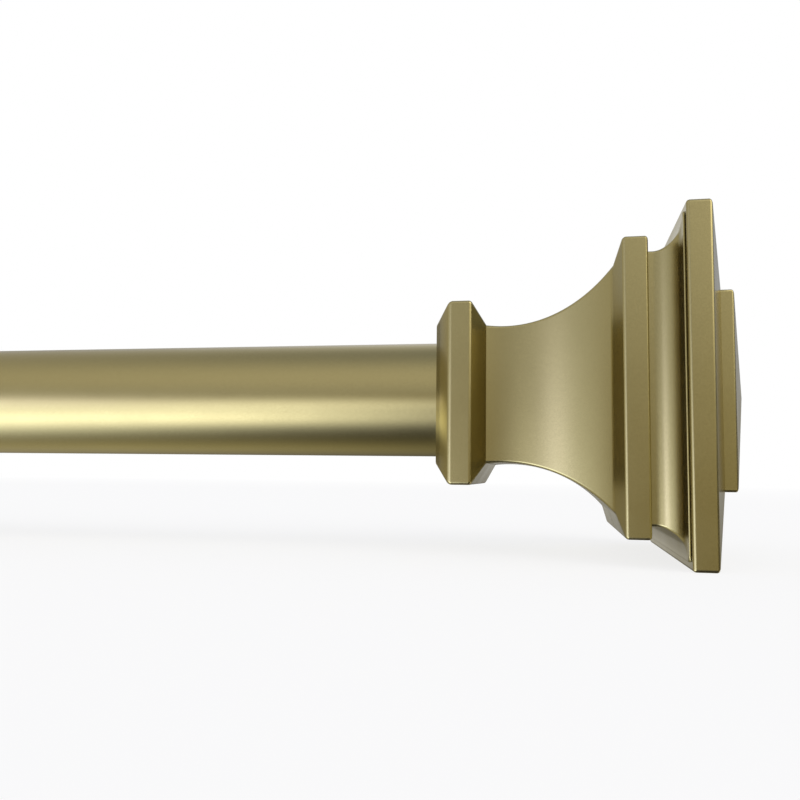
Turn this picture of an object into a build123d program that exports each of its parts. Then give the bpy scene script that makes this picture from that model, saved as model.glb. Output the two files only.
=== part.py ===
from build123d import *

import os
from math import sqrt

# A telescoping curtain rod with a stepped square finial on each end. Two thin steel tubes slide one
# in the other. A nylon plug in each outer end takes the threaded stud of a finial, which draws the
# flat back of the finial's collar against the end of the tube. A finial is two mouldings: a hollow
# square body that flares from its collar, and a stepped square face that closes the body's mouth.
# The rod's axis is X, Z is up, and the origin is the middle of the closed rod. All sizes in mm.

# Tubes
closed_length = 711.2  # from collar to collar with the rod pushed together
tube_diameter = 25.4
tube_wall = 1.2
slide_clearance = 0.4  # radial, between the two tubes
inner_wall = 1.0
inner_showing = 30.0  # bare inner tube when the rod is closed
inner_tail_gap = 48.0  # from the hidden end of the inner tube to the outer tube's plug
mouth_chamfer = 0.3  # eased edge where the inner tube comes out

# Plugs and studs
plug_clearance = 0.1
plug_length = 24.0
plug_head = 3.0  # full disc that closes the tube's end
plug_rib_height = 2.0
plug_rib_width = 2.4
plug_rib_count = 6
stud_diameter = 6.0
stud_clearance = 0.1
stud_chamfer = 0.6
stud_in_plug = 18.0
stud_in_finial = 22.0

# Finial outside. Half widths step from the tube outwards, and lengths run along the axis.
collar_margin = 1.8  # back of the collar past the tube
collar_back_bevel = 3.1
collar_rise = 4.2
collar_length = 4.4
collar_front_bevel = 2.8
neck_margin = 1.4  # narrowest part of the flare past the tube
neck_lead = 3.5
flare_length = 21.3
flare_rise = 9.6
band_bevel = 1.65
band_rise = 4.3
band_length = 4.5
cove_step = 2.35
cove_lead = 0.8  # straight start of the cove
cove_radius = 4.85
cove_lip = 0.85  # straight end of the cove, up to its rim
cove_rim = 0.45
face_lip = 1.55  # face past the rim of the cove
face_length = 4.43
face_slope = 3.62
block_inset = 13.6  # from the edge of the face to the side of the block
block_length = 2.4
point_length = 5.0
body_edge_chamfer = 0.4
face_edge_round = 0.7

# Finial inside
finial_wall = 2.4
back_wall = 3.5
boss_wall = 4.0  # plastic round the stud
boss_past_stud = 3.0
spigot_length = 5.0
spigot_clearance = 0.2

tube_radius = tube_diameter / 2
tube_bore_radius = tube_radius - tube_wall
inner_radius = tube_bore_radius - slide_clearance
inner_bore_radius = inner_radius - inner_wall
stud_radius = stud_diameter / 2
stud_hole_radius = stud_radius + stud_clearance
collar_x = closed_length / 2

# Places along the finial, counted from the back of its collar
collar_start = collar_back_bevel
collar_end = collar_start + collar_length
neck_start = collar_end + collar_front_bevel
neck = neck_start + neck_lead
flare_end = neck + flare_length
band_start = flare_end + band_bevel
band_end = band_start + band_length
cove_start = band_end + cove_lead
cove_end = cove_start + cove_radius
mouth = cove_end + cove_rim
face_front = mouth + face_length
block_start = face_front + face_slope
block_front = block_start + block_length
point = block_front + point_length

# Half widths of the square section at those places
collar_back_half = tube_radius + collar_margin
collar_half = collar_back_half + collar_rise
neck_half = tube_radius + neck_margin
flare_half = neck_half + flare_rise
band_half = flare_half + band_rise
cove_half = band_half - cove_step
rim_half = cove_half + cove_radius + cove_lip
face_half = rim_half + face_lip
block_half = face_half - block_inset

# The flare is one arc, along the axis at the neck
flare_radius = (flare_length**2 + flare_rise**2) / (2 * flare_rise)
neck_start_half = neck_half + flare_radius - sqrt(flare_radius**2 - neck_lead**2)

# The finial's hollow keeps the wall inside the flare, then runs straight to the mouth
hollow_neck_half = neck_half - finial_wall
mouth_half = cove_half - finial_wall
hollow_radius = flare_radius + finial_wall
hollow_drop = hollow_radius - (mouth_half - hollow_neck_half)
hollow_bend = neck + sqrt(hollow_radius**2 - hollow_drop**2)
hollow_middle = (neck + hollow_bend) / 2
hollow_middle_half = hollow_neck_half + hollow_radius - sqrt(hollow_radius**2 - (hollow_middle - neck) ** 2)

# Planes at the back of the right collar: two along the axis and one across it
finial_side = Plane(origin=(collar_x, 0, 0), x_dir=(1, 0, 0), z_dir=(0, -1, 0))
finial_plan = Plane(origin=(collar_x, 0, 0), x_dir=(1, 0, 0), z_dir=(0, 0, 1))
finial_back = Plane(origin=(collar_x, 0, 0), x_dir=(0, 1, 0), z_dir=(1, 0, 0))
right_tube_end = Plane(origin=(collar_x, 0, 0), x_dir=(0, 1, 0), z_dir=(-1, 0, 0))
left_tube_end = Plane(origin=(-collar_x, 0, 0), x_dir=(0, 1, 0), z_dir=(1, 0, 0))


def square_form(outline):
    """Solid of square section whose half width along the finial's axis follows the outline.

    The outline is drawn from the axis outwards. Its side view and its plan cross at right angles.
    """
    with BuildPart() as form:
        for plane, mode in ((finial_side, Mode.ADD), (finial_plan, Mode.INTERSECT)):
            with BuildSketch(plane):
                add(outline)
                mirror(about=Plane.XZ)
            extrude(amount=face_half, both=True, mode=mode)
    return form.part


def flats_between(piece, start, end):
    """Faces of a finial piece whose middle lies between two places along the finial."""
    return piece.faces().filter_by_position(
        Axis.X, collar_x + start, collar_x + end, inclusive=(False, False)
    )


def tube_plug(tube_end, bore_radius):
    """Ribbed nylon plug, flush with the end of its tube, with the hole for the finial's stud."""
    plug_radius = bore_radius - plug_clearance
    with BuildPart() as plug:
        with BuildSketch(tube_end):
            Circle(plug_radius)
        extrude(amount=plug_head)
        with BuildSketch(tube_end):
            with PolarLocations(0, plug_rib_count):
                Rectangle(plug_radius, plug_rib_width, align=(Align.MIN, Align.CENTER))
            Circle(plug_radius - plug_rib_height)
            Circle(plug_radius, mode=Mode.INTERSECT)
        extrude(amount=plug_length)
        with BuildSketch(tube_end):
            Circle(stud_hole_radius)
        extrude(amount=plug_length, mode=Mode.SUBTRACT)
    return plug.part


# Tubes
with BuildPart() as outer_tube:
    with BuildSketch(right_tube_end):
        Circle(tube_radius)
        Circle(tube_bore_radius, mode=Mode.SUBTRACT)
    extrude(amount=closed_length - inner_showing)
    mouth_edges = outer_tube.edges().group_by(Axis.X)[0]
    chamfer(mouth_edges.sort_by(SortBy.LENGTH)[-1], length=mouth_chamfer)

with BuildPart() as inner_tube:
    with BuildSketch(left_tube_end):
        Circle(inner_radius)
        Circle(inner_bore_radius, mode=Mode.SUBTRACT)
    extrude(amount=closed_length - plug_length - inner_tail_gap)

outer_tube_plug = tube_plug(right_tube_end, tube_bore_radius)
inner_tube_plug = tube_plug(left_tube_end, inner_bore_radius)

# Finial body, hollow behind its outline but for the boss that holds the stud
with BuildSketch() as body_outline:
    with BuildLine():
        Polyline(
            (0, 0),
            (0, collar_back_half),
            (collar_start, collar_half),
            (collar_end, collar_half),
            (neck_start, neck_start_half),
        )
        ThreePointArc((neck_start, neck_start_half), (neck, neck_half), (flare_end, flare_half))
        Polyline(
            (flare_end, flare_half),
            (band_start, band_half),
            (band_end, band_half),
            (band_end, cove_half),
            (cove_start, cove_half),
        )
        JernArc(start=(cove_start, cove_half), tangent=(1, 0), radius=cove_radius, arc_size=90)
        Polyline(
            (cove_end, cove_half + cove_radius),
            (cove_end, rim_half),
            (mouth, rim_half),
            (mouth, 0),
            (0, 0),
        )
    make_face()

with BuildSketch() as hollow_outline:
    with BuildLine():
        Polyline((mouth, 0), (back_wall, 0), (back_wall, hollow_neck_half), (neck, hollow_neck_half))
        ThreePointArc(
            (neck, hollow_neck_half),
            (hollow_middle, hollow_middle_half),
            (hollow_bend, mouth_half),
        )
        Polyline((hollow_bend, mouth_half), (mouth, mouth_half), (mouth, 0))
    make_face()

body_form = square_form(body_outline.sketch)
hollow_form = square_form(hollow_outline.sketch)

with BuildPart() as finial_hollow:
    add(hollow_form)
    with BuildSketch(finial_back):
        Circle(stud_hole_radius + boss_wall)
    extrude(amount=stud_in_finial + boss_past_stud, mode=Mode.SUBTRACT)

with BuildPart() as right_finial_body:
    add(body_form)
    flare_edges = right_finial_body.edges().filter_by(GeomType.LINE, reverse=True)
    flare_hips = flare_edges.filter_by_position(Axis.X, collar_x + neck, collar_x + flare_end)
    chamfer(flare_hips, length=body_edge_chamfer)
    for start, end in ((collar_start, collar_end), (band_start, band_end)):
        flats = flats_between(right_finial_body, start, end)
        chamfer(set(flats.edges()), length=body_edge_chamfer)
    add(finial_hollow.part, mode=Mode.SUBTRACT)
    with BuildSketch(finial_back):
        Circle(stud_hole_radius)
    extrude(amount=stud_in_finial + stud_clearance, mode=Mode.SUBTRACT)

# Finial face, cored from behind, with a spigot that fits the body's mouth
with BuildSketch() as face_outline:
    with BuildLine():
        Polyline(
            (mouth, 0),
            (mouth, face_half),
            (face_front, face_half),
            (block_start, block_half),
            (block_front, block_half),
            (point, 0),
            (mouth, 0),
        )
    make_face()

face_form = square_form(face_outline.sketch)
spigot_half = mouth_half - spigot_clearance
core_half = block_half - finial_wall

with BuildPart() as right_finial_face:
    add(face_form)
    plate_flats = flats_between(right_finial_face, mouth, face_front)
    fillet(set(plate_flats.edges()), radius=face_edge_round)
    block_flats = flats_between(right_finial_face, block_start, block_front)
    fillet(block_flats.edges().group_by(Axis.X)[-1], radius=face_edge_round)
    with BuildSketch(finial_back.offset(mouth - spigot_length)):
        Rectangle(2 * spigot_half, 2 * spigot_half)
        Rectangle(2 * (spigot_half - finial_wall), 2 * (spigot_half - finial_wall), mode=Mode.SUBTRACT)
    extrude(amount=spigot_length)
    with BuildSketch(finial_back.offset(mouth)):
        Rectangle(2 * core_half, 2 * core_half)
    extrude(amount=block_front - finial_wall - mouth, mode=Mode.SUBTRACT)

# Stud, screwed into the finial's boss at one end and the plug at the other
with BuildPart() as right_finial_stud:
    with BuildSketch(finial_back.offset(-stud_in_plug)):
        Circle(stud_radius)
    extrude(amount=stud_in_plug + stud_in_finial)
    chamfer(right_finial_stud.edges().filter_by(GeomType.CIRCLE), length=stud_chamfer)

# The left finial is the right one turned to face the other way
with BuildPart() as left_finial_body:
    mirror(right_finial_body.part, about=Plane.YZ)

with BuildPart() as left_finial_face:
    mirror(right_finial_face.part, about=Plane.YZ)

with BuildPart() as left_finial_stud:
    mirror(right_finial_stud.part, about=Plane.YZ)

pieces = {
    "outer_tube": outer_tube.part,
    "inner_tube": inner_tube.part,
    "outer_tube_plug": outer_tube_plug,
    "inner_tube_plug": inner_tube_plug,
    "right_finial_body": right_finial_body.part,
    "right_finial_face": right_finial_face.part,
    "right_finial_stud": right_finial_stud.part,
    "left_finial_body": left_finial_body.part,
    "left_finial_face": left_finial_face.part,
    "left_finial_stud": left_finial_stud.part,
}
os.makedirs("parts", exist_ok=True)
for name, piece in pieces.items():
    piece.label = name
    export_step(piece, f"parts/{name}.step")
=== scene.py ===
import math

import bmesh
import bpy
from mathutils import Matrix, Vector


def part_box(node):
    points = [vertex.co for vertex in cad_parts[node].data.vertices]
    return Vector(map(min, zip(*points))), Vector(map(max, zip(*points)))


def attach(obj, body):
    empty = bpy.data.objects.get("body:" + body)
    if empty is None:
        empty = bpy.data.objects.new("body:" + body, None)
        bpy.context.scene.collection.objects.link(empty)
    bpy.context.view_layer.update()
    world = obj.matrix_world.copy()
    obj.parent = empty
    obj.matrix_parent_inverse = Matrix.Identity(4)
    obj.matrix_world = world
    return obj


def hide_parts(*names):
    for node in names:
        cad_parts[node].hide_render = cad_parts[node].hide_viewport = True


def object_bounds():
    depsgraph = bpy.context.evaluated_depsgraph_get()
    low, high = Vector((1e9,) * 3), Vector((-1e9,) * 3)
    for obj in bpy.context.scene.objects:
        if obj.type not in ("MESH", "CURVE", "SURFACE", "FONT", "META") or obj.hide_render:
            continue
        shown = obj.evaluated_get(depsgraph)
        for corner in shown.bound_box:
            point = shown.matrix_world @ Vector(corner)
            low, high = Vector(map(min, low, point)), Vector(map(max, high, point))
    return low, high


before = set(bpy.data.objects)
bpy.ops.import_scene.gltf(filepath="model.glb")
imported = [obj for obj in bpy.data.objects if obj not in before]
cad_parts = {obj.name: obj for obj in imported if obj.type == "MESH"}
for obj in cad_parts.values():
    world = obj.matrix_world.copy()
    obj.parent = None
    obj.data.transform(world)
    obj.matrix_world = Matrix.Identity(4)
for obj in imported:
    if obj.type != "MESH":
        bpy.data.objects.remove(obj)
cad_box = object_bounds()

# Outer tube
# The round steel tube of the rod, cut square and painted satin champagne gold.
# The finial's collar butts on its right end, and its left mouth takes the inner tube.
mm = 0.001  # sizes are written in millimetres
tube_left, tube_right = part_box("outer_tube")
tube_radius = tube_right.z
tube_wall = 1.2 * mm
tube_mouth_round = 0.3 * mm
tube_sides = 160
round_segments = 4
flake_size = 0.3 * mm
speck_spacing = 3.5 * mm
speck_radius = 0.14 * mm
speck_shade = 0.6
cloud_size = 9 * mm
cloud_change = 0.02
peel_size = 1.2 * mm
peel_depth = 0.0015 * mm
paint_roughness = 0.25
noise_floor = 0.3
noise_top = 0.7
fine_detail = 2
soft_detail = 3
rich_detail = 4
weld = 0.001 * mm
rim_angle = math.radians(60)


def new_nodes(name):
    """A new material with its nodes, links and shader, and the object's own coordinates."""
    material = bpy.data.materials.new(name)
    material.use_nodes = True
    nodes = material.node_tree.nodes
    shader = nodes["Principled BSDF"]
    place = nodes.new("ShaderNodeTexCoord").outputs["Object"]
    return material, nodes, material.node_tree.links, shader, place


def grain(nodes, links, place, size, detail, low, high):
    """Noise with lumps of the given size, spread over the range from low to high."""
    noise = nodes.new("ShaderNodeTexNoise")
    noise.inputs["Scale"].default_value = 1 / size
    noise.inputs["Detail"].default_value = detail
    links.new(place, noise.inputs["Vector"])
    spread = nodes.new("ShaderNodeMapRange")
    spread.inputs["From Min"].default_value = noise_floor
    spread.inputs["From Max"].default_value = noise_top
    spread.inputs["To Min"].default_value = low
    spread.inputs["To Max"].default_value = high
    links.new(noise.outputs["Fac"], spread.inputs["Value"])
    return spread.outputs["Result"]


def champagne_paint(name, pale, deep, roughness):
    """Satin metallic paint: flakes of two tones, cloudy gloss, orange peel and rare specks."""
    material, nodes, links, shader, place = new_nodes(name)
    flakes = nodes.new("ShaderNodeMix")
    flakes.data_type = "RGBA"
    flakes.inputs["A"].default_value = (*deep, 1)
    flakes.inputs["B"].default_value = (*pale, 1)
    flake_tone = grain(nodes, links, place, flake_size, fine_detail, 0, 1)
    links.new(flake_tone, flakes.inputs["Factor"])
    grit = nodes.new("ShaderNodeTexVoronoi")
    grit.inputs["Scale"].default_value = 1 / speck_spacing
    links.new(place, grit.inputs["Vector"])
    speck = nodes.new("ShaderNodeMapRange")
    speck.inputs["From Min"].default_value = speck_radius / speck_spacing
    speck.inputs["From Max"].default_value = 0
    links.new(grit.outputs["Distance"], speck.inputs["Value"])
    flecked = nodes.new("ShaderNodeMix")
    flecked.data_type = "RGBA"
    flecked.inputs["B"].default_value = (*[speck_shade * level for level in deep], 1)
    links.new(speck.outputs["Result"], flecked.inputs["Factor"])
    links.new(flakes.outputs["Result"], flecked.inputs["A"])
    links.new(flecked.outputs["Result"], shader.inputs["Base Color"])
    shader.inputs["Metallic"].default_value = 1
    smooth = roughness - cloud_change
    rough = roughness + cloud_change
    clouds = grain(nodes, links, place, cloud_size, soft_detail, smooth, rough)
    links.new(clouds, shader.inputs["Roughness"])
    peel = nodes.new("ShaderNodeBump")
    peel.inputs["Distance"].default_value = peel_depth
    peel_lumps = grain(nodes, links, place, peel_size, fine_detail, 0, 1)
    links.new(peel_lumps, peel.inputs["Height"])
    links.new(peel.outputs["Normal"], shader.inputs["Normal"])
    return material


def finish_piece(name, mesh, body, node, material):
    """Makes the mesh a smooth object that stands for its node and moves with its body."""
    data = bpy.data.meshes.new(name)
    mesh.to_mesh(data)
    mesh.free()
    data.shade_smooth()
    data.materials.append(material)
    piece = bpy.data.objects.new(name, data)
    bpy.context.scene.collection.objects.link(piece)
    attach(piece, body)
    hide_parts(node)
    return piece


def spun_tube(start, end, radius, wall, edge_round):
    """Tube spun from the outline of its wall, with its edges eased."""
    mesh = bmesh.new()
    bore = radius - wall
    corners = [(start, radius), (end, radius), (end, bore), (start, bore)]
    verts = [mesh.verts.new((x, 0, r)) for x, r in corners]
    edges = [mesh.edges.new((verts[i - 1], verts[i])) for i in range(len(verts))]
    bmesh.ops.spin(
        mesh,
        geom=verts + edges,
        axis=(1, 0, 0),
        cent=(0, 0, 0),
        angle=2 * math.pi,
        steps=tube_sides,
        use_merge=True,
    )
    bmesh.ops.remove_doubles(mesh, verts=mesh.verts, dist=weld)
    bmesh.ops.recalc_face_normals(mesh, faces=mesh.faces)
    rims = [e for e in mesh.edges if abs(e.calc_face_angle()) > rim_angle]
    bmesh.ops.bevel(
        mesh,
        geom=rims,
        offset=edge_round,
        offset_type="OFFSET",
        segments=round_segments,
        profile=0.5,
        affect="EDGES",
        material=-1,
    )
    return mesh


tube_pale = (0.445, 0.375, 0.16)
tube_deep = (0.41, 0.343, 0.144)
tube_paint = champagne_paint("tube_champagne_paint", tube_pale, tube_deep, paint_roughness)
outer_mesh = spun_tube(tube_left.x, tube_right.x, tube_radius, tube_wall, tube_mouth_round)
outer_tube = finish_piece(
    "gold_outer_tube", outer_mesh, "outer_half", "outer_tube", tube_paint
)
outer_tube.modifiers.new("even_normals", "WEIGHTED_NORMAL")

# Inner tube
# The thinner steel tube that slides in the outer one, in the same paint.
# A short length shows at the left end while the rod is closed.
inner_left, inner_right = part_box("inner_tube")
inner_wall = 1.0 * mm
inner_round = 0.2 * mm
inner_mesh = spun_tube(inner_left.x, inner_right.x, inner_right.z, inner_wall, inner_round)
inner_tube = finish_piece(
    "gold_inner_tube", inner_mesh, "inner_half", "inner_tube", tube_paint
)
inner_tube.modifiers.new("even_normals", "WEIGHTED_NORMAL")

# Tube plugs
# Ribbed plugs of black nylon, moulded in one piece and pressed into the outer ends of the tubes.
# Each has a hole in the middle that the finial's stud screws into. Their form is kept as it comes.
nylon_dark = (0.018, 0.018, 0.02, 1)
nylon_worn = (0.035, 0.035, 0.038, 1)
nylon_blotch = 1.5 * mm
nylon_grain = 0.6 * mm
nylon_smooth = 0.45
nylon_rough = 0.6


def blotchy(name, first, second, blotch, grain_size, smooth, rough, metallic):
    """A finish of two tones in soft blotches, with a fine grain in its gloss."""
    material, nodes, links, shader, place = new_nodes(name)
    tone = nodes.new("ShaderNodeMix")
    tone.data_type = "RGBA"
    tone.inputs["A"].default_value = first
    tone.inputs["B"].default_value = second
    blotches = grain(nodes, links, place, blotch, rich_detail, 0, 1)
    links.new(blotches, tone.inputs["Factor"])
    links.new(tone.outputs["Result"], shader.inputs["Base Color"])
    gloss = grain(nodes, links, place, grain_size, soft_detail, smooth, rough)
    links.new(gloss, shader.inputs["Roughness"])
    shader.inputs["Metallic"].default_value = metallic
    return material


nylon = blotchy(
    "plug_black_nylon",
    nylon_dark,
    nylon_worn,
    nylon_blotch,
    nylon_grain,
    nylon_smooth,
    nylon_rough,
    metallic=0,
)
for plug in ("outer_tube_plug", "inner_tube_plug"):
    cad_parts[plug].data.materials.clear()
    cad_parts[plug].data.materials.append(nylon)

# Finial studs
# Steel studs with a zinc plating that is a little cloudy. One end is screwed into the finial's boss
# and the other into the plug, so the finial can be taken off. Their form is kept as it comes.
zinc_dull = (0.42, 0.43, 0.45, 1)
zinc_bright = (0.60, 0.60, 0.58, 1)
zinc_cloud = 2.0 * mm
zinc_grain = 1.0 * mm
zinc_smooth = 0.28
zinc_rough = 0.42
zinc = blotchy(
    "stud_zinc_steel",
    zinc_dull,
    zinc_bright,
    zinc_cloud,
    zinc_grain,
    zinc_smooth,
    zinc_rough,
    metallic=1,
)
for stud in ("right_finial_stud", "left_finial_stud"):
    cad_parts[stud].data.materials.clear()
    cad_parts[stud].data.materials.append(zinc)

# Finial bodies
# Hollow square mouldings in champagne gold paint: collar, flare, raised band and cove in one piece.
# A boss inside takes the stud, which draws the collar's back against the end of the tube.
body_low, body_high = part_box("right_finial_body")
collar_x = body_low.x
mouth = body_high.x - collar_x
collar_margin = 1.8 * mm
collar_back_bevel = 3.1 * mm
collar_rise = 4.2 * mm
collar_length = 4.4 * mm
collar_front_bevel = 2.8 * mm
collar_back_half = tube_radius + collar_margin
collar_start = collar_back_bevel
collar_half = collar_back_half + collar_rise
collar_end = collar_start + collar_length
neck_margin = 1.4 * mm
neck_lead = 3.5 * mm
neck_start = collar_end + collar_front_bevel
neck = neck_start + neck_lead
neck_half = tube_radius + neck_margin
flare_length = 21.45 * mm
flare_rise = 9.6 * mm
flare_radius = (flare_length**2 + flare_rise**2) / (2 * flare_rise)
flare_end = neck + flare_length
band_bevel = 1.45 * mm
band_length = 4.55 * mm
band_rise = 4.3 * mm
band_start = flare_end + band_bevel
band_end = band_start + band_length
band_half = neck_half + flare_rise + band_rise
cove_step = 2.35 * mm
cove_lead = 0.95 * mm
cove_half = band_half - cove_step
cove_start = band_end + cove_lead
cove_bends = (  # radius, angle reached in degrees, and strips of each arc
    (4.3 * mm, 24, 8),
    (5.8 * mm, 56, 10),
    (1.8 * mm, 78, 6),
)
lip_radius = 12.0 * mm
rim_half = body_high.z
rim_width = 0.36 * mm
groove_width = 0.07 * mm
groove_depth = 1.5 * mm
groove_start = mouth - groove_width
groove_half = rim_half - groove_depth
cove_end = groove_start - rim_width
finial_wall = 2.4 * mm
back_wall = 3.5 * mm
hollow_neck_half = neck_half - finial_wall
mouth_half = cove_half - finial_wall
hollow_radius = flare_radius + finial_wall
boss_radius = 7.1 * mm
boss_end = 25.0 * mm
stud_hole_radius = 3.1 * mm
stud_hole_end = 22.1 * mm
square_sides = 4
hole_sides = 48
flare_strips = 28
lip_strips = 6
widest_round = 1.0 * mm
collar_round = 0.6 * mm
collar_front_round = 0.4 * mm
band_round = 0.5 * mm
band_front_round = 0.5 * mm
hip_round = 0.5 * mm
rim_round = 0.17 * mm
rim_hip_round = 1.0 * mm
crease_angle = math.radians(25)
across = Matrix.Rotation(math.pi / 2, 4, "Y")
square_across = across @ Matrix.Rotation(math.pi / 4, 4, "Z")


def square_ring(mesh, at, half):
    """The four edges of a square across the finial's axis."""
    placed = Matrix.Translation((at, 0, 0)) @ square_across
    corner_radius = half * math.sqrt(2)
    made = bmesh.ops.create_circle(mesh, radius=corner_radius, segments=square_sides, matrix=placed)
    return list(dict.fromkeys(e for v in made["verts"] for e in v.link_edges))


def carried(mesh, ring, at, half):
    """Extrudes a ring of edges to a new place and half width, and returns the new ring."""
    old = next(v.co.copy() for e in ring for v in e.verts)
    grown = bmesh.ops.extrude_edge_only(mesh, edges=ring)["geom"]
    verts = [g for g in grown if isinstance(g, bmesh.types.BMVert)]
    scale = half / abs(old.z)
    bmesh.ops.scale(mesh, verts=verts, vec=(1, scale, scale))
    bmesh.ops.translate(mesh, verts=verts, vec=(at - old.x, 0, 0))
    corner = set(verts)
    return [g for g in grown if isinstance(g, bmesh.types.BMEdge) and set(g.verts) <= corner]


def drawn_along(mesh, ring, outline, ease):
    """Carries a ring along an outline of places, half widths, hip rounds and ring rounds."""
    for at, half, hip, edge in outline:
        ring = carried(mesh, ring, at, half)
        for e in ring:
            e[ease] = edge / widest_round
        for v in {v for e in ring for v in e.verts}:
            for e in v.link_edges:
                if e not in ring:
                    e[ease] = max(e[ease], hip / widest_round)
    return ring


def arc(middle, half, radius, start, end, strips):
    """Places and half widths along an arc, with angles counted from straight in to the axis."""
    angles = [start + (end - start) * i / strips for i in range(1, strips + 1)]
    return [(middle + radius * math.sin(a), half - radius * math.cos(a)) for a in angles]


def bend(start, radius, start_angle, end_angle, strips):
    """Goes on from a place and half width along an arc that turns from one angle to another."""
    middle = start[0] - radius * math.sin(start_angle)
    half = start[1] + radius * math.cos(start_angle)
    return arc(middle, half, radius, start_angle, end_angle, strips)


def ended_round(mesh, ring, at, radius, facing):
    """Fills from a square ring to a round loop at the same place, and returns the loop."""
    placed = Matrix.Translation((at, 0, 0)) @ across
    made = bmesh.ops.create_circle(mesh, radius=radius, segments=hole_sides, matrix=placed)
    loop = list(dict.fromkeys(e for v in made["verts"] for e in v.link_edges))
    bmesh.ops.triangle_fill(mesh, use_beauty=True, edges=ring + loop, normal=(facing, 0, 0))
    return loop


def round_post(mesh, loop, length):
    """Extrudes a round loop along the axis and closes its end."""
    grown = bmesh.ops.extrude_edge_only(mesh, edges=loop)["geom"]
    verts = [g for g in grown if isinstance(g, bmesh.types.BMVert)]
    bmesh.ops.translate(mesh, verts=verts, vec=(length, 0, 0))
    end = set(verts)
    rim = [g for g in grown if isinstance(g, bmesh.types.BMEdge) and set(g.verts) <= end]
    bmesh.ops.edgeloop_fill(mesh, edges=rim)


def placed_finial(mesh, side):
    """Moves a finial piece to its end of the rod and keeps its uneased corners crisp."""
    bmesh.ops.translate(mesh, verts=mesh.verts, vec=(collar_x, 0, 0))
    bmesh.ops.scale(mesh, verts=mesh.verts, vec=(side, 1, 1))
    bmesh.ops.recalc_face_normals(mesh, faces=mesh.faces)
    ease = mesh.edges.layers.float["bevel_weight_edge"]
    for e in mesh.edges:
        e.smooth = e[ease] > 0 or e.calc_face_angle(0) < crease_angle
    return mesh


def eased(piece):
    """Rounds the edges by their own widths and keeps the flats flat."""
    rounds = piece.modifiers.new("eased_edges", "BEVEL")
    rounds.limit_method = "WEIGHT"
    rounds.width = widest_round
    rounds.segments = round_segments
    rounds.use_clamp_overlap = False
    even = piece.modifiers.new("even_normals", "WEIGHTED_NORMAL")
    even.keep_sharp = True


def finial_body_mesh():
    """Outside from the collar's back to the mouth, then the hollow, the boss and the hole."""
    mesh = bmesh.new()
    ease = mesh.edges.layers.float.new("bevel_weight_edge")
    neck_angle = -math.asin((neck - neck_start) / flare_radius)
    flare_angle = math.asin(flare_length / flare_radius)
    flare = arc(neck, neck_half + flare_radius, flare_radius, neck_angle, flare_angle, flare_strips)
    neck_start_half = neck_half + flare_radius * (1 - math.cos(neck_angle))
    cove = [(cove_start, cove_half)]
    angle = 0
    for radius, turned, strips in cove_bends:
        cove += bend(cove[-1], radius, angle, math.radians(turned), strips)
        angle = math.radians(turned)
    lip_angle = math.asin(min(1, math.sin(angle) + (cove_end - cove[-1][0]) / lip_radius))
    lip = bend(cove[-1], lip_radius, angle, lip_angle, lip_strips)
    outline = [
        (collar_start, collar_half, hip_round, collar_round),
        (collar_end, collar_half, collar_round, collar_front_round),
        (neck_start, neck_start_half, hip_round, 0),
    ]
    outline += [(at, half, hip_round, 0) for at, half in flare]
    outline += [
        (band_start, band_half, hip_round, band_round),
        (band_end, band_half, band_round, band_front_round),
        (band_end, cove_half, hip_round, 0),
    ]
    outline += [(at, half, hip_round, 0) for at, half in cove]
    for i, (at, half) in enumerate(lip, start=1):
        lip_hip_round = hip_round + (rim_hip_round - hip_round) * i / lip_strips
        outline.append((at, half, lip_hip_round, 0))
    outline += [
        (cove_end, rim_half, rim_hip_round, rim_round),
        (groove_start, rim_half, rim_hip_round, rim_round),
        (groove_start, groove_half, 0, 0),
        (mouth, groove_half, 0, 0),
        (mouth, mouth_half, 0, 0),
    ]
    hollow_angle = math.acos(1 - (mouth_half - hollow_neck_half) / hollow_radius)
    hollow_middle = hollow_neck_half + hollow_radius
    hollow = arc(neck, hollow_middle, hollow_radius, hollow_angle, 0, flare_strips)
    hollow_bend = neck + hollow_radius * math.sin(hollow_angle)
    outline += [(hollow_bend, mouth_half, 0, 0)]
    outline += [(at, half, 0, 0) for at, half in hollow]
    outline += [(back_wall, hollow_neck_half, 0, 0)]
    back_ring = square_ring(mesh, 0, collar_back_half)
    hollow_ring = drawn_along(mesh, back_ring, outline, ease)
    boss_loop = ended_round(mesh, hollow_ring, back_wall, boss_radius, 1)
    round_post(mesh, boss_loop, boss_end - back_wall)
    hole_loop = ended_round(mesh, back_ring, 0, stud_hole_radius, -1)
    round_post(mesh, hole_loop, stud_hole_end)
    return mesh


finial_pale = (0.45, 0.385, 0.172)
finial_deep = (0.415, 0.354, 0.156)
finial_paint = champagne_paint(
    "finial_champagne_paint", finial_pale, finial_deep, paint_roughness
)
for hand, side, half_rod in (("right", 1, "outer_half"), ("left", -1, "inner_half")):
    finial_body = finish_piece(
        f"gold_{hand}_finial_body",
        placed_finial(finial_body_mesh(), side),
        half_rod,
        f"{hand}_finial_body",
        finial_paint,
    )
    eased(finial_body)

# Finial faces
# Square mouldings in the same paint that close the bodies: plate, sloped shoulder, block and point.
# A spigot behind the plate is glued into the body's mouth, which leaves a fine line round the rim.
face_low, face_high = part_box("right_finial_face")
face_half = face_high.z
point = face_high.x - collar_x
spigot_end = face_low.x - collar_x
face_length = 4.43 * mm
face_slope = 3.62 * mm
block_length = 2.4 * mm
block_inset = 13.6 * mm
spigot_gap = 0.2 * mm
face_front = mouth + face_length
block_start = face_front + face_slope
block_front = block_start + block_length
block_half = face_half - block_inset
spigot_half = mouth_half - spigot_gap
core_half = block_half - finial_wall
core_end = block_front - finial_wall
plate_round = 0.6 * mm
plate_front_round = 0.45 * mm
shoulder_hip_round = 0.4 * mm
block_round = 0.4 * mm
point_hip_round = 0.35 * mm


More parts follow.
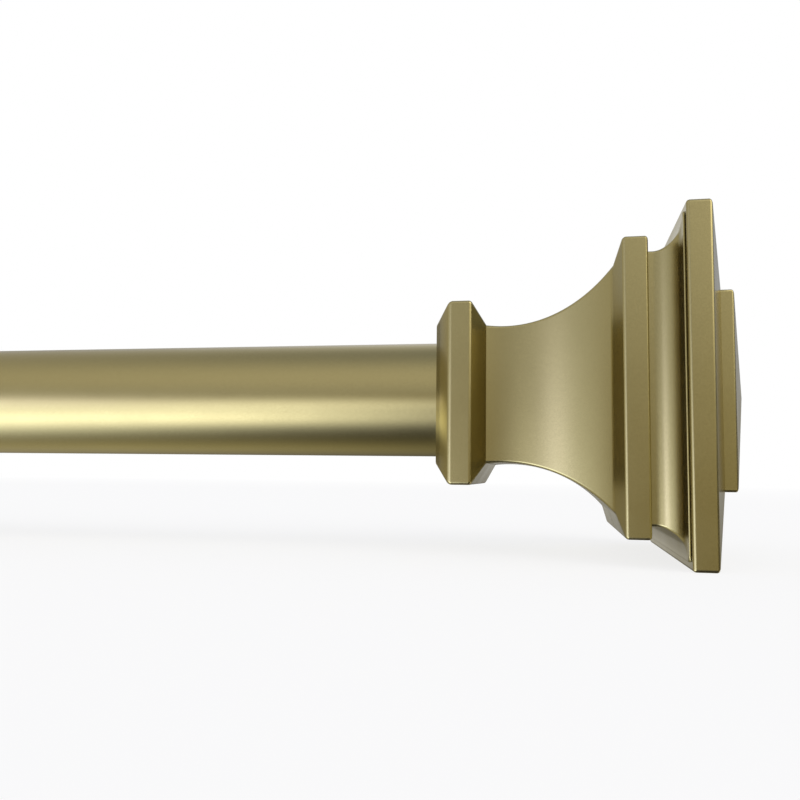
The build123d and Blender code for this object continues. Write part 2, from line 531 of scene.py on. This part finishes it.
def finial_face_mesh():
    """The point as a low pyramid, then the steps back to the plate, the spigot and the core."""
    mesh = bmesh.new()
    ease = mesh.edges.layers.float.new("bevel_weight_edge")
    bmesh.ops.create_cone(
        mesh,
        segments=square_sides,
        radius1=block_half * math.sqrt(2),
        radius2=0,
        depth=point - block_front,
        matrix=Matrix.Translation(((point + block_front) / 2, 0, 0)) @ square_across,
    )
    bmesh.ops.remove_doubles(mesh, verts=mesh.verts, dist=weld)
    for e in mesh.edges:
        e[ease] = (block_round if e.is_boundary else point_hip_round) / widest_round
    block_ring = [e for e in mesh.edges if e.is_boundary]
    outline = [
        (block_start, block_half, block_round, 0),
        (face_front, face_half, shoulder_hip_round, plate_front_round),
        (mouth, face_half, plate_round, plate_round),
        (mouth, spigot_half, 0, 0),
        (spigot_end, spigot_half, 0, 0),
        (spigot_end, spigot_half - finial_wall, 0, 0),
        (mouth, spigot_half - finial_wall, 0, 0),
        (mouth, core_half, 0, 0),
        (core_end, core_half, 0, 0),
    ]
    core_ring = drawn_along(mesh, block_ring, outline, ease)
    bmesh.ops.edgeloop_fill(mesh, edges=core_ring)
    return mesh


for hand, side, half_rod in (("right", 1, "outer_half"), ("left", -1, "inner_half")):
    finial_face = finish_piece(
        f"gold_{hand}_finial_face",
        placed_finial(finial_face_mesh(), side),
        half_rod,
        f"{hand}_finial_face",
        finial_paint,
    )
    eased(finial_face)

# Floor
# A plain pale floor of matt paper under the rod, which rests on the undersides of its finial faces.
# The camera sees it lifted towards white, with the rod's shadow, and the metal doesn't mirror it.
floor_size = 8.0
floor_mesh = bmesh.new()
bmesh.ops.create_grid(
    floor_mesh,
    x_segments=1,
    y_segments=1,
    size=floor_size / 2,
    matrix=Matrix.Translation((0, 0, cad_box[0].z)),
)
floor_data = bpy.data.meshes.new("floor")
floor_mesh.to_mesh(floor_data)
floor_mesh.free()
floor = bpy.data.objects.new("floor", floor_data)
bpy.context.scene.collection.objects.link(floor)
floor.visible_glossy = False
floor.visible_shadow = False
floor_paint, nodes, links, shader, place = new_nodes("floor_white")
floor_white = (0.95, 0.95, 0.95, 1)
floor_roughness = 0.9
floor_glow = 0.8
fade_start = 0.6
fade_end = 1.5
shader.inputs["Base Color"].default_value = floor_white
shader.inputs["Roughness"].default_value = floor_roughness
shader.inputs["Specular IOR Level"].default_value = 0
paper_white = nodes.new("ShaderNodeEmission")
away = nodes.new("ShaderNodeVectorMath")
away.operation = "LENGTH"
links.new(place, away.inputs[0])
fade = nodes.new("ShaderNodeMapRange")
fade.inputs["From Min"].default_value = fade_start
fade.inputs["From Max"].default_value = fade_end
fade.inputs["To Min"].default_value = floor_glow
links.new(away.outputs["Value"], fade.inputs["Value"])
seen = nodes.new("ShaderNodeMath")
seen.operation = "MULTIPLY"
links.new(fade.outputs["Result"], seen.inputs[1])
links.new(nodes.new("ShaderNodeLightPath").outputs["Is Camera Ray"], seen.inputs[0])
lifted = nodes.new("ShaderNodeMixShader")
links.new(seen.outputs["Value"], lifted.inputs["Fac"])
links.new(shader.outputs["BSDF"], lifted.inputs[1])
links.new(paper_white.outputs["Emission"], lifted.inputs[2])
links.new(lifted.outputs["Shader"], nodes["Material Output"].inputs["Surface"])
floor_data.materials.append(floor_paint)

# Studio
# A plain room of soft lights: a window with four panes low on the left, a soft box up on the right,
# dim walls and a dim ceiling. The white backdrop is what the camera sees all round, and the metal
# mirrors it where it stands behind the rod.
studio = bpy.data.worlds.new("soft_studio")
bpy.context.scene.world = studio
studio.use_nodes = True
nodes = studio.node_tree.nodes
links = studio.node_tree.links
towards = nodes.new("ShaderNodeTexCoord").outputs["Generated"]
height = nodes.new("ShaderNodeSeparateXYZ")
links.new(towards, height.inputs["Vector"])
light_level = 1.1


def soft_light(azimuth, elevation, tightness, colour):
    """A soft round glow; azimuth counts from the camera's side to the right, elevation upwards."""
    turn = math.radians(azimuth)
    rise = math.radians(elevation)
    facing = nodes.new("ShaderNodeVectorMath")
    facing.operation = "DOT_PRODUCT"
    facing.inputs[1].default_value = (
        math.sin(turn) * math.cos(rise),
        -math.cos(turn) * math.cos(rise),
        math.sin(rise),
    )
    links.new(towards, facing.inputs[0])
    falloff = nodes.new("ShaderNodeMath")
    falloff.operation = "MULTIPLY_ADD"
    falloff.inputs[1].default_value = tightness
    falloff.inputs[2].default_value = -tightness
    links.new(facing.outputs["Value"], falloff.inputs[0])
    glow = nodes.new("ShaderNodeMath")
    glow.operation = "EXPONENT"
    links.new(falloff.outputs["Value"], glow.inputs[0])
    light = nodes.new("ShaderNodeVectorMath")
    light.operation = "SCALE"
    light.inputs[0].default_value = [light_level * part for part in colour]
    links.new(glow.outputs["Value"], light.inputs["Scale"])
    return light.outputs["Vector"]


def added(first, second):
    """Two lights together."""
    both = nodes.new("ShaderNodeVectorMath")
    both.operation = "ADD"
    links.new(first, both.inputs[0])
    links.new(second, both.inputs[1])
    return both.outputs["Vector"]


def risen(light, low, high):
    """A light that fades in upwards, between two heights of its direction."""
    fade_in = nodes.new("ShaderNodeMapRange")
    fade_in.interpolation_type = "SMOOTHSTEP"
    fade_in.inputs["From Min"].default_value = low
    fade_in.inputs["From Max"].default_value = high
    links.new(height.outputs["Z"], fade_in.inputs["Value"])
    above = nodes.new("ShaderNodeVectorMath")
    above.operation = "SCALE"
    links.new(light, above.inputs[0])
    links.new(fade_in.outputs["Result"], above.inputs["Scale"])
    return above.outputs["Vector"]


ceiling = risen(soft_light(0, 45, 0.5, (0.15, 0.2, 0.35)), 0.0, 0.25)
backdrop = risen(soft_light(180, 2, 16, (0.85, 0.85, 0.85)), -0.2, 0.0)
back_light = soft_light(180, 35, 8, (0.6, 0.6, 0.6))
left_pane = soft_light(-59, -28, 12, (2.45, 2.7, 3.56))
right_pane = soft_light(-30, -36, 30, (1.82, 1.92, 2.39))
upper_left_pane = soft_light(-42, -5, 60, (1.4, 1.47, 2.4))
upper_right_pane = soft_light(-19, -14, 42, (1.59, 1.7, 2.18))
window = (left_pane, right_pane, upper_left_pane, upper_right_pane)
soft_box = risen(soft_light(62, 32, 9, (2.9, 2.75, 2.5)), 0.0, 0.32)
front_fill = soft_light(25, 4, 9, (0.33, 0.28, 0.15))
right_fill = soft_light(122, -28, 10, (0.85, 0.8, 0.7))
far_wall = soft_light(-135, -45, 8, (0.48, 0.46, 0.36))
side_wall = soft_light(-105, 20, 3, (0.42, 0.37, 0.25))
overhead = soft_light(-24, 39, 4, (0.49, 0.44, 0.35))
room = ceiling
fills = (front_fill, right_fill, far_wall, side_wall, overhead)
for light in (back_light, *window, soft_box, *fills):
    room = added(room, light)
room_light = nodes["Background"]
links.new(room, room_light.inputs["Color"])
plain_white = nodes.new("ShaderNodeBackground")
plain_white.inputs["Color"].default_value = (1, 1, 1, 1)
light_path = nodes.new("ShaderNodeLightPath")
mirrored = nodes.new("ShaderNodeMath")
mirrored.operation = "MULTIPLY"
links.new(backdrop, mirrored.inputs[0])
links.new(light_path.outputs["Is Glossy Ray"], mirrored.inputs[1])
white_seen = nodes.new("ShaderNodeMath")
white_seen.operation = "MAXIMUM"
links.new(light_path.outputs["Is Camera Ray"], white_seen.inputs[0])
links.new(mirrored.outputs["Value"], white_seen.inputs[1])
shown = nodes.new("ShaderNodeMixShader")
links.new(white_seen.outputs["Value"], shown.inputs["Fac"])
links.new(room_light.outputs["Background"], shown.inputs[1])
links.new(plain_white.outputs["Background"], shown.inputs[2])
links.new(shown.outputs["Shader"], nodes["World Output"].inputs["Surface"])

# Camera
# It stands close in front of the right finial, a little below the rod's axis, and looks up a bit.
# Its place and turn come from the straight edges of the tube and the finial in the photograph.
photo_width_pixels = 800
photo_focal_pixels = 825.2
sensor_width = 36.0
near_clip = 10 * mm
camera_place = (0.379705, -0.183124, -0.016471)
camera_yaw = math.radians(10.651)
camera_pitch = math.radians(5.065)
camera_roll = math.radians(0.694)
camera_data = bpy.data.cameras.new("photo_camera")
camera_data.sensor_width = sensor_width
camera_data.lens = sensor_width * photo_focal_pixels / photo_width_pixels
camera_data.clip_start = near_clip
camera = bpy.data.objects.new("photo_camera", camera_data)
bpy.context.scene.collection.objects.link(camera)
camera_turn = (
    Matrix.Rotation(camera_yaw, 4, "Z")
    @ Matrix.Rotation(math.pi / 2 + camera_pitch, 4, "X")
    @ Matrix.Rotation(camera_roll, 4, "Z")
)
camera.matrix_world = Matrix.Translation(camera_place) @ camera_turn
bpy.context.scene.camera = camera
bpy.context.scene.view_settings.view_transform = "Standard"
